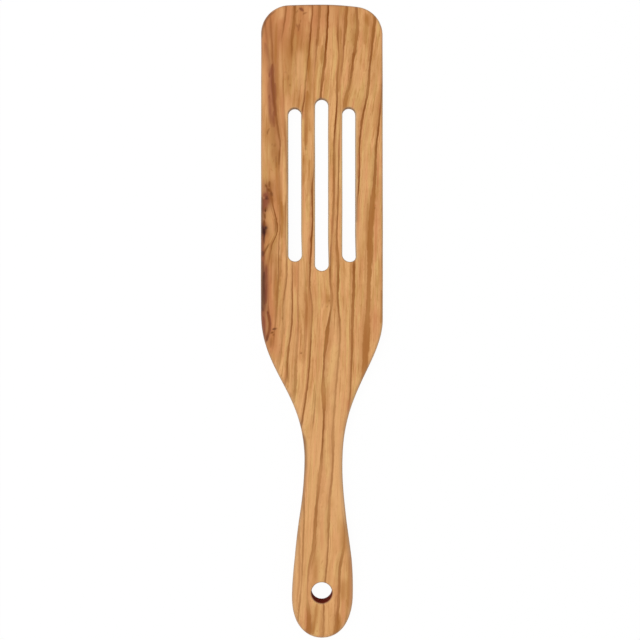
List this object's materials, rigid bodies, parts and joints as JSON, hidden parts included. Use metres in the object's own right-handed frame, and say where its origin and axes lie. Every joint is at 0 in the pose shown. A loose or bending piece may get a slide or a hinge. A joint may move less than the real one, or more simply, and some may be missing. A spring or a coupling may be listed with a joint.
{
  "type": "slotted spurtle",
  "caption": "Flat olive-wood cooking paddle with a rectangular round-cornered blade, long open slots, a slim waisted handle and a round hang hole.",
  "frame": {"origin": "on the plane of the flat back, under the middle of the overall box", "axes": "+Y from the handle to the blade's tip, +X to the right as the front face is looked at, +Z out of the front face"},
  "size_m": [0.0636, 0.33, 0.009],
  "materials": {
    "olive_wood": "oiled satin"
  },
  "bodies": {
    "root": {"spurtle": "olive_wood"}
  },
  "joints": []
}
